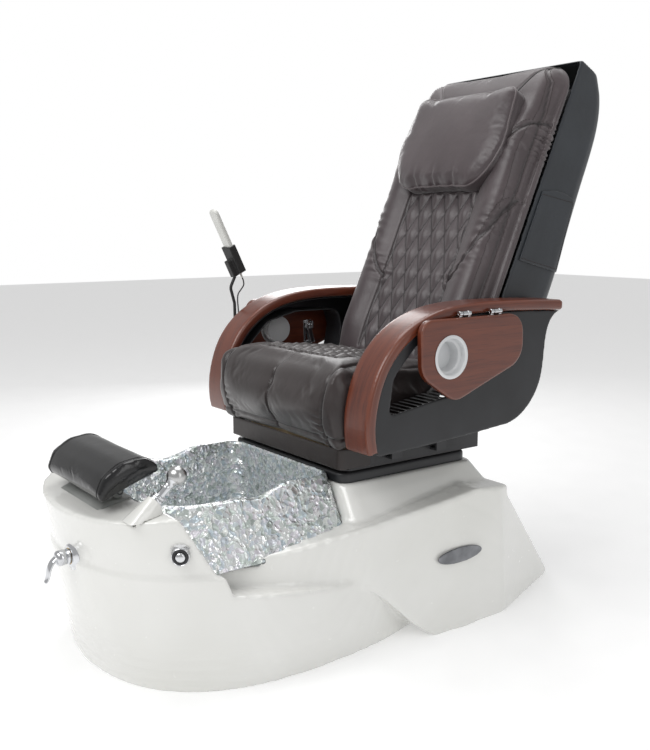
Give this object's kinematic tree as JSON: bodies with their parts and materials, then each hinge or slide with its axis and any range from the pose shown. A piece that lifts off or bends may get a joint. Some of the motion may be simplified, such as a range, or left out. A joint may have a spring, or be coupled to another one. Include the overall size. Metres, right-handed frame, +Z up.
{
  "type": "pedicure spa chair",
  "caption": "Pedicure spa chair: reclining massage seat with wooden arms and fold-up trays on a white tub with a crystal foot bowl, footrest, pull-out sprayer and tap.",
  "frame": {"origin": "on the floor under the middle foot of the base frame, in the chair's middle plane", "axes": "+Z up, -Y towards the footrest end, +X towards the sitter's left hand"},
  "size_m": [0.8442, 1.5776, 1.4532],
  "materials": {
    "gelcoat": "pearl white gelcoat, high gloss",
    "crystal": "textured clear resin with a silvery iridescent lining",
    "frame_steel": "black powder coat",
    "rubber_foot": "black moulded rubber",
    "black_plastic": "satin black moulding",
    "ground_steel": "ground and polished bar",
    "chrome": "polished chrome",
    "brass": "cast and machined brass",
    "pipe": "braided hose and grey pipe",
    "grey_plastic": "grey moulding",
    "badge": "brushed plate with dark oval field",
    "grey_cast": "grey cast bracket",
    "satin_chrome": "satin nickel",
    "gloss_black": "gloss black skin",
    "leather_brown": "warm grey-brown leather",
    "leather_dark": "dark brown leather",
    "wood": "cherry stained, satin lacquer",
    "silver": "satin silver",
    "remote_shell": "off-white moulding",
    "black_rubber": "black flexible sleeve",
    "plywood": "birch plywood",
    "back_skin": "black leatherette over the back shell"
  },
  "bodies": {
    "base": {"base_shell": "gelcoat", "foot_bowl": "crystal", "base_frame": "frame_steel", "levelling_feet": "rubber_foot", "slide_cover": "black_plastic", "slide_rails": "ground_steel", "slide_actuator": "black_plastic", "mixer_plate": "chrome", "mixer_valve": "brass", "supply_pipes": "pipe", "inlet_fittings": "brass", "drain_fitting": "chrome", "drain_pipe": "pipe", "jet_housing": "grey_plastic", "jet_motor": "black_plastic", "control_box": "grey_plastic", "power_inlet": "black_plastic", "service_panel": "black_plastic", "side_badges": "badge", "button_bezel": "black_plastic", "spray_pedestal": "gelcoat", "spray_collar": "chrome", "footrest_bracket": "grey_cast"},
    "air_button": {"air_button": "chrome"},
    "mixer_hub": {"mixer_hub": "chrome"},
    "mixer_lever": {"mixer_lever": "chrome"},
    "sprayer": {"spray_head": "satin_chrome"},
    "footrest": {"footrest_cradle": "frame_steel", "footrest_pad": "gloss_black"},
    "drain_stopper": {"drain_stopper": "chrome"},
    "jet_impeller": {"jet_impeller": "grey_plastic"},
    "seat": {"seat_frame": "frame_steel", "slide_rod": "ground_steel", "seat_board": "plywood", "seat_cushion": "leather_brown", "seat_skirt": "leather_dark", "arm_rail_left": "wood", "arm_rail_right": "wood", "arm_shell_left": "black_plastic", "arm_shell_right": "black_plastic", "tray_hinges": "chrome", "recline_actuator": "black_plastic", "gooseneck": "black_rubber", "remote_holder": "black_plastic", "remote_cable": "black_rubber"},
    "tray_left": {"tray_left": "wood", "cup_left": "silver", "tray_fittings_left": "chrome"},
    "tray_right": {"tray_right": "wood", "cup_right": "silver", "tray_fittings_right": "chrome"},
    "remote": {"remote": "remote_shell"},
    "remote_keys": {"remote_keys": "black_plastic"},
    "backrest": {"back_shell": "back_skin", "back_frame": "frame_steel", "back_cushion": "leather_brown", "pillow": "leather_brown"},
    "recline_rod": {"recline_rod": "ground_steel"},
    "massage_carriage": {"massage_carriage": "black_plastic"},
    "massage_rollers": {"massage_rollers": "grey_plastic"}
  },
  "joints": [
    {"name": "seat_slide", "type": "slide", "parent": "base", "child": "seat", "axis": [0, -1, 0], "range_m": [0, 0.12]},
    {"name": "back_recline", "type": "hinge", "parent": "seat", "child": "backrest", "pos_m": [0, 0.3, 0.5], "axis": [-1, 0, 0], "range_deg": [0, 35]},
    {"name": "recline_rod_travel", "type": "slide", "parent": "seat", "child": "recline_rod", "axis": [0, -1, 0], "range_m": [0, 0.0362]},
    {"name": "tray_left_lift", "type": "hinge", "parent": "seat", "child": "tray_left", "pos_m": [0.383, 0.19, 0.796], "axis": [0, -1, 0], "range_deg": [0, 90]},
    {"name": "tray_right_lift", "type": "hinge", "parent": "seat", "child": "tray_right", "pos_m": [-0.383, 0.19, 0.796], "axis": [0, 1, 0], "range_deg": [0, 90]},
    {"name": "remote_lift", "type": "slide", "parent": "seat", "child": "remote", "axis": [0, -0.4384, 0.8988], "range_m": [0, 0.09]},
    {"name": "remote_keys_press", "type": "slide", "parent": "remote", "child": "remote_keys", "axis": [0, -0.8988, -0.4384], "range_m": [0, 0.0012], "stiffness_N_per_m": 800},
    {"name": "massage_travel", "type": "slide", "parent": "backrest", "child": "massage_carriage", "axis": [0, 0.4128, 0.9108], "range_m": [0, 0.33]},
    {"name": "roller_spin", "type": "hinge", "parent": "massage_carriage", "child": "massage_rollers", "pos_m": [0, 0.38862, 0.72057], "axis": [1, 0, 0], "continuous": true},
    {"name": "footrest_tilt", "type": "hinge", "parent": "base", "child": "footrest", "pos_m": [0, -0.634, 0.422], "axis": [1, 0, 0], "range_deg": [-12, 12]},
    {"name": "sprayer_pull", "type": "slide", "parent": "base", "child": "sprayer", "axis": [0, 0.7431, 0.6691], "range_m": [0, 0.04]},
    {"name": "mixer_turn", "type": "hinge", "parent": "base", "child": "mixer_hub", "pos_m": [0.04, -0.72477, 0.276], "axis": [0.0483, -0.9988, 0], "range_deg": [-45, 45]},
    {"name": "mixer_lift", "type": "hinge", "parent": "mixer_hub", "child": "mixer_lever", "pos_m": [0.04147, -0.75524, 0.272], "axis": [0.9988, 0.0483, 0], "range_deg": [0, 22]},
    {"name": "air_button_press", "type": "slide", "parent": "base", "child": "air_button", "axis": [-0.8419, 0.5396, 0], "range_m": [0, 0.005], "stiffness_N_per_m": 600},
    {"name": "drain_stopper_lift", "type": "slide", "parent": "base", "child": "drain_stopper", "axis": [0, 0, 1], "range_m": [0, 0.012]},
    {"name": "jet_impeller_spin", "type": "hinge", "parent": "base", "child": "jet_impeller", "pos_m": [0, -0.57, 0.262], "axis": [0, -1, 0], "continuous": true}
  ],
  "couplings": [
    {"joint": "recline_rod_travel", "follows": "back_recline", "m_per_rad": 0.0591}
  ]
}
